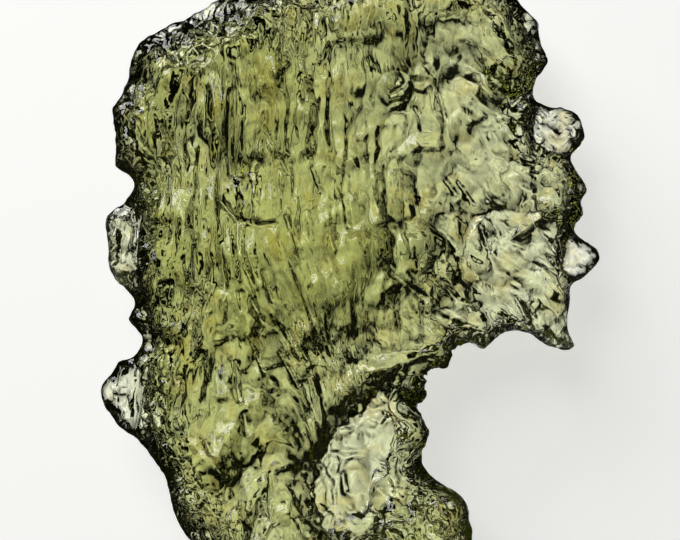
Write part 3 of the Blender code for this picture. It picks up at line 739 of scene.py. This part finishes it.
def finely_etched(places, normals, winding, wander, scallop):
    """Flutes, pits and pebbles everywhere but in the scallop, and shells on its floor."""
    x, y, _ = places.T
    face = face_share(normals)
    strength = patch_share(x, y) * (1.0 - (1.0 - IN_SCALLOP) * scallop)
    fine = pebbled(fluted(places, winding, wander), winding, normals)
    fine = strength * (fine + pitted(places))
    return fine - fine.mean() + scallop * face * shelled(winding)


# %% Swells and lumps under the fine etching
SWELLS = [(4.6, 4.6, 0, 0.7, 3)]
# How much the height counts in the swells' pattern, so that face and back swell in different places
SWELL_STEEPNESS = 3.0
SWELLS_CALMED = 0.7
LUMPY = [(2.2, 2.9, 0, 0.5, 41), (1.1, 1.1, 0, 0.3, 31)]


def broadly_etched(places, winding, scallop):
    """Broad swells and lumps, calmer in the scallop."""
    swells = etched(places * (1.0, 1.0, SWELL_STEEPNESS), SWELLS)
    swells = swells.mean() + (swells - swells.mean()) * (1.0 - SWELLS_CALMED * scallop)
    broad = swells + (1.0 - (1.0 - IN_SCALLOP) * scallop) * etched(winding, LUMPY)
    return broad - broad.mean()


# %% Press every layer and form into the plate
# A noise of this cell moves the layers' patterns about by so much, so that no row of them is straight
WARP_CELL = 2.0
WARP_SEEDS = (5, 6, 7)
WARP = 0.6
# Round the spot that the stone rests on, the back swells out evenly by so much, and is etched less
REST_RADIUS = 3.6
REST_FADE = 1.5
REST_SWELL = 0.8
REST_FINE = 0.6
# The relief is full where the plate is this far from its middle, and less at the lip
RELIEF_FULL = 0.9
RELIEF_LEAST = 0.2


def etch(mesh):
    """Press every layer and form into the plate, along its own normals."""
    places = vertex_values(mesh, "co")
    normals = vertex_values(mesh, "normal")
    x, y, z = places.T
    face, back = face_share(normals), face_share(normals, -1.0)
    wander = np.stack([drift(places / WARP_CELL, seed) for seed in WARP_SEEDS], 1)
    winding = places + WARP * wander
    scallop = in_scallop(x, y)
    fine = finely_etched(places, normals, winding, wander, scallop)
    relief = broadly_etched(places, winding, scallop) + fine
    rest = np.hypot(x - REST_SPOT[0], y - REST_SPOT[1]) / REST_RADIUS
    rest_share = back * np.clip(REST_FADE - rest, 0.0, 1.0)
    relief = relief * (1.0 - rest_share) + (REST_SWELL + REST_FINE * fine) * rest_share
    raised = np.maximum(lumped(x, y, LUMPS), shelved(x, y, SHELVES))
    lines = scored(places[:, :2], CRESTS) - scored(places[:, :2], GOUGES)
    relief = relief + face * (raised - dished(x, y, DISHES) + lines)
    relief = relief - face * scallop * (SCALLOP_DEPTH - chipped(x, y)) - back * dished(x, y, BACK_DISHES)
    relief = relief * np.clip(np.abs(z - middle_at(x, y)) / RELIEF_FULL, RELIEF_LEAST, 1.0)
    move_vertices(mesh, places + normals * relief[:, None])


etch(stone.data)
print("etched, up to", vertex_values(stone.data, "co")[:, 2].max().round(2), "mm high")

# %% [markdown]
# ## Finishing the mesh
#
# The lowest ridge of the back is worn flat, which is what the stone rests on. Small hollows are left in
# it, because a polished window there would let the eye see straight through. Decimate then keeps the
# faces where the surface bends, and the stone is brought to metres so that its box is the solid's own.

# %% Wear the rest spot level
REST_CUT = 0.22
REST_FLUTES = [(0.8, 2.6, 8, 1.1, 81), (0.4, 1.0, -5, 0.5, 82)]
REST_ETCH = 0.22
REST_STEP = 0.06


def flatten_rest_spot(mesh):
    """Wear the lowest part level, but leave small hollows between ridges that still touch the floor."""
    places = vertex_values(mesh, "co")
    level = places[:, 2].min() + REST_CUT
    ridges = np.clip(etched(places * (1.0, 1.0, 0.0), REST_FLUTES), 0.0, 1.0)
    worn = np.clip((places[:, 2] - level) / -REST_STEP, 0.0, 1.0)
    places[:, 2] = np.where(places[:, 2] < level, level + REST_ETCH * worn * (1.0 - ridges), places[:, 2])
    move_vertices(mesh, places)


flatten_rest_spot(stone.data)
print("lowest place now", vertex_values(stone.data, "co")[:, 2].min().round(2), "mm")

# %% Thin the mesh out and set it over the solid
MOST_TRIANGLES = 198000


def fit_to_box(mesh, low, high):
    """Stretch and move the mesh so that its box is the one given."""
    places = vertex_values(mesh, "co")
    own_low, own_high = places.min(0), places.max(0)
    stretch = (np.array(high) - np.array(low)) / (own_high - own_low)
    move_vertices(mesh, np.array(low) + (places - own_low) * stretch)
    return stretch


triangles = sum(len(face.vertices) - 2 for face in stone.data.polygons)
kept_share = min(1.0, MOST_TRIANGLES / triangles)
apply_modifier(stone, "DECIMATE", {"ratio": kept_share, "use_collapse_triangulate": True})
stretch = fit_to_box(stone.data, cad_low, cad_high)
stone.data.shade_smooth()
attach(stone, "root")
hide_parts(STONE_NODE)
print("stone of", len(stone.data.polygons), "triangles, brought to metres by", stretch.round(6))

# %% [markdown]
# ## The glass
#
# Moldavite is a silica-rich natural glass with an index of refraction of about 1.49, a little under
# window glass. Its olive green comes from iron all through it, so the colour belongs to the volume and
# not to the surface: a Principled BSDF passes all light, and a plain Volume Absorption takes blue out of
# it, and a little red and green, for every millimetre that it crosses.

# %% Material tools


def srgb(code):
    """A hex colour as it is seen, turned to the linear values that shaders use."""
    parts = [int(code[k:k + 2], 16) / 255.0 for k in (1, 3, 5)]
    return [c / 12.92 if c <= 0.04045 else ((c + 0.055) / 1.055) ** 2.4 for c in parts] + [1.0]


def add_node(tree, kind, settings=None, inputs=None, links=None):
    """Add one node with its settings, its input values and links from other nodes' outputs."""
    node = tree.nodes.new(kind)
    for key, value in (settings or {}).items():
        setattr(node, key, value)
    for key, value in (inputs or {}).items():
        node.inputs[key].default_value = value
    for key, output in (links or {}).items():
        tree.links.new(output, node.inputs[key])
    return node


def empty_material(name):
    material = bpy.data.materials.new(name)
    material.use_nodes = True
    material.node_tree.nodes.clear()
    return material, material.node_tree


# %% [markdown]
# ## The etched surface, close up
#
# Etched glass is glossy in its hollows and very slightly frosted, so the roughness is low and a faint
# bump 0.08 mm wide breaks up the highlights. Pits that are too small for the mesh, 0.25 mm wide and
# 0.6 mm long, come from a Voronoi texture: its grid is stretched along the flutes and pulled about by a
# noise, so that no pattern shows. Both bumps are far shallower than they are wide.

# %% Bump of pits and frost
PIT_WIDTH = 0.25
PIT_LENGTH = 0.6
PIT_DEPTH = 0.015
PIT_TURN = 8.0
FROST_WIDTH = 0.08
FROST_DEPTH = 0.002
WANDER_WIDTH = 0.8
WANDER_REACH = 0.5


def etched_normal(tree, place):
    """The surface normal, disturbed by long pits over a fine frost."""
    wander = add_node(tree, "ShaderNodeTexNoise", inputs={"Scale": 1.0 / (WANDER_WIDTH * MM), "Detail": 1.0},
                      links={"Vector": place})
    drawn = add_node(tree, "ShaderNodeVectorMath", {"operation": "MULTIPLY"}, {1: (WANDER_REACH * MM,) * 3},
                     {0: wander.outputs["Color"]})
    drawn = add_node(tree, "ShaderNodeVectorMath", {"operation": "ADD"},
                     links={0: place, 1: drawn.outputs["Vector"]})
    stretched = add_node(tree, "ShaderNodeMapping", inputs={
        "Rotation": (0.0, 0.0, math.radians(PIT_TURN)), "Scale": (1.0, PIT_WIDTH / PIT_LENGTH, 1.0)},
        links={"Vector": drawn.outputs["Vector"]})
    pits = add_node(tree, "ShaderNodeTexVoronoi", inputs={"Scale": 1.0 / (PIT_WIDTH * MM)},
                    links={"Vector": stretched.outputs["Vector"]})
    frost = add_node(tree, "ShaderNodeTexNoise", inputs={"Scale": 1.0 / (FROST_WIDTH * MM), "Detail": 2.0},
                     links={"Vector": place})
    frosted = add_node(tree, "ShaderNodeBump", inputs={"Distance": FROST_DEPTH * MM},
                       links={"Height": frost.outputs["Fac"]})
    pitted_over = add_node(tree, "ShaderNodeBump", inputs={"Distance": PIT_DEPTH * MM},
                           links={"Height": pits.outputs["Distance"], "Normal": frosted.outputs["Normal"]})
    return pitted_over.outputs["Normal"]


# %% [markdown]
# ## Warm stains
#
# Iron from the ground has stained the etched skin here and there, which turns the green behind it warmer.
# A noise with patches about 1.6 mm wide, cut off softly, mixes a pale straw tint into the clear surface
# tint. The Mix node keeps its two colours at inputs 6 and 7 and its colour result at output 2, and the
# Map Range node keeps its value at input 0 and its range at inputs 1 and 2.

# %% Surface tint
STAIN_WIDTH = 1.6
STAIN_FROM = 0.52
STAIN_TO = 0.66
CLEAN_TINT = "#fbfdff"
STAIN_TINT = "#f1e2b8"


def stained_tint(tree, place):
    """Clear skin with soft straw-coloured patches."""
    clouds = add_node(tree, "ShaderNodeTexNoise", inputs={
        "Scale": 1.0 / (STAIN_WIDTH * MM), "Detail": 5.0, "Roughness": 0.65}, links={"Vector": place})
    stained = add_node(tree, "ShaderNodeMapRange", inputs={1: STAIN_FROM, 2: STAIN_TO},
                       links={0: clouds.outputs["Fac"]})
    tint = add_node(tree, "ShaderNodeMix", {"data_type": "RGBA"}, {6: srgb(CLEAN_TINT), 7: srgb(STAIN_TINT)},
                    {0: stained.outputs["Result"]})
    return tint.outputs[2]


# %% Etched green natural glass
GLASS_IOR = 1.49
GLASS_ROUGHNESS = 0.03
GLASS_TINT = "#cfd33c"
# Per metre: through 5 mm of glass a fifth of the blue is left, and over half of the red and green
GLASS_DENSITY = 315.0


def natural_glass():
    material, tree = empty_material("etched green natural glass")
    place = add_node(tree, "ShaderNodeTexCoord").outputs["Object"]
    normal = etched_normal(tree, place)
    tint = stained_tint(tree, place)
    surface = add_node(tree, "ShaderNodeBsdfPrincipled", inputs={
        "Roughness": GLASS_ROUGHNESS, "IOR": GLASS_IOR, "Transmission Weight": 1.0},
        links={"Base Color": tint, "Normal": normal})
    body = add_node(tree, "ShaderNodeVolumeAbsorption", inputs={
        "Color": srgb(GLASS_TINT), "Density": GLASS_DENSITY})
    add_node(tree, "ShaderNodeOutputMaterial", links={
        "Surface": surface.outputs["BSDF"], "Volume": body.outputs["Volume"]})
    return material


stone.data.materials.clear()
stone.data.materials.append(natural_glass())
passed = [round(math.exp(-GLASS_DENSITY * 5.0 * MM * (1.0 - part)), 2) for part in srgb(GLASS_TINT)[:3]]
print("glass of index", GLASS_IOR, "passes", passed, "of red, green and blue through 5 mm")

# %% [markdown]
# ## Floor
#
# The stone lies on a plain pale floor that glows a little, as the top of a light table does. The rays
# that pass through the stone or mirror off it don't see the floor. If they did, the steep slopes would
# pick up its glow from far away, and the black rims would fill in.

# %% Pale floor
FLOOR_SIZE = 2.0
FLOOR_COLOUR = "#d2d2d0"
FLOOR_ROUGHNESS = 0.9
FLOOR_GLOW_COLOUR = "#fcfcf9"
FLOOR_GLOW = 0.66


def pale_floor():
    bpy.ops.mesh.primitive_plane_add(size=FLOOR_SIZE)
    floor = bpy.context.object
    floor.name = "pale_floor"
    material, tree = empty_material("matt pale floor")
    surface = add_node(tree, "ShaderNodeBsdfPrincipled", inputs={
        "Base Color": srgb(FLOOR_COLOUR), "Roughness": FLOOR_ROUGHNESS,
        "Emission Color": srgb(FLOOR_GLOW_COLOUR), "Emission Strength": FLOOR_GLOW})
    add_node(tree, "ShaderNodeOutputMaterial", links={"Surface": surface.outputs["BSDF"]})
    floor.data.materials.append(material)
    floor.visible_transmission = False
    floor.visible_glossy = False
    floor.visible_shadow = False
    return floor


print("floor", pale_floor().dimensions.x, "m wide")

# %% [markdown]
# ## Light
#
# What lights the glass is a broad lamp under the floor, as in a light table. Its light leaves within a
# narrow angle, so steep slopes look past it and turn black. It is tilted a few degrees towards the upper
# left, so slopes that face that way come out brighter than those that face the lower right, and the
# flutes look raised. A soft light at the upper left shapes the rims and draws the shadow. A low window
# light on the same side puts white glints on the crests. It is kept from shining through the stone,
# because it would light up the far rims in bright yellow green.

# %% Lamps: place and target in metres, size in metres, power in watts
TABLE_SIZE = 0.2
TABLE_DEPTH = 0.02
TABLE_POWER = 0.0148
TABLE_SPREAD = 62.0
TABLE_TILT = 8.0
TABLE_TOWARD = 125.0
UPPER_LEFT = ((-0.1, 0.18, 0.25), (0, 0, 0), 0.15, 0.3)
LOW_WINDOW = ((-0.14, 0.2, 0.075), (0, 0, 0.004), 0.15, 0.5)


def area_light(name, place, target, size, power, spread=180.0):
    light = bpy.data.lights.new(name, "AREA")
    light.size = size
    light.energy = power
    light.spread = math.radians(spread)
    lamp = bpy.data.objects.new(name, light)
    lamp.location = place
    lamp.rotation_euler = (Vector(target) - Vector(place)).to_track_quat("-Z", "Y").to_euler()
    bpy.context.scene.collection.objects.link(lamp)
    return lamp


tilt, toward = math.radians(TABLE_TILT), math.radians(TABLE_TOWARD)
faces = (math.cos(toward) * math.sin(tilt), math.sin(toward) * math.sin(tilt), math.cos(tilt) - TABLE_DEPTH)
area_light("light_table", (0, 0, -TABLE_DEPTH), faces, TABLE_SIZE, TABLE_POWER, TABLE_SPREAD)
area_light("upper_left_light", *UPPER_LEFT)
window = area_light("low_window_light", *LOW_WINDOW)
window.visible_transmission = False
print("lamps of", TABLE_POWER, UPPER_LEFT[3], "and", LOW_WINDOW[3], "W")

# %% A dim sky keeps the shadows from going dead
SKY_COLOUR = "#e7ecf2"
SKY_STRENGTH = 0.012
world = bpy.data.worlds.new("dim sky")
world.use_nodes = True
world.node_tree.nodes["Background"].inputs["Color"].default_value = srgb(SKY_COLOUR)
world.node_tree.nodes["Background"].inputs["Strength"].default_value = SKY_STRENGTH
bpy.context.scene.world = world
bpy.context.scene.view_settings.view_transform = "Standard"

# %% [markdown]
# ## Camera
#
# The camera looks straight down on the face. It has a long lens, so the plate's thickness hardly widens
# its rim. Its place comes from the photo's middle and from how many millimetres of stone one pixel covers.

# %% Camera over the face
PHOTO_WIDTH = 680
PHOTO_HEIGHT = 540
MM_PER_PIXEL = 0.05
DRAWING_ORIGIN_PIXEL = (350, 300)
LENS = 135.0
SENSOR = 36.0
FACE_HEIGHT = 4.0
drawing_middle = (loop.min(0) + loop.max(0)) / 2.0
aim_x = ((PHOTO_WIDTH / 2 - DRAWING_ORIGIN_PIXEL[0]) * MM_PER_PIXEL - drawing_middle[0]) * MM
aim_y = ((DRAWING_ORIGIN_PIXEL[1] - PHOTO_HEIGHT / 2) * MM_PER_PIXEL - drawing_middle[1]) * MM
distance = PHOTO_WIDTH * MM_PER_PIXEL * MM * LENS / SENSOR
camera = bpy.data.objects.new("camera", bpy.data.cameras.new("camera"))
camera.data.lens = LENS
camera.data.sensor_width = SENSOR
camera.data.clip_start = MM
camera.location = (aim_x, aim_y, distance + FACE_HEIGHT * MM)
bpy.context.scene.collection.objects.link(camera)
bpy.context.scene.camera = camera
print("camera", round(camera.location.z * 1000), "mm above the floor")
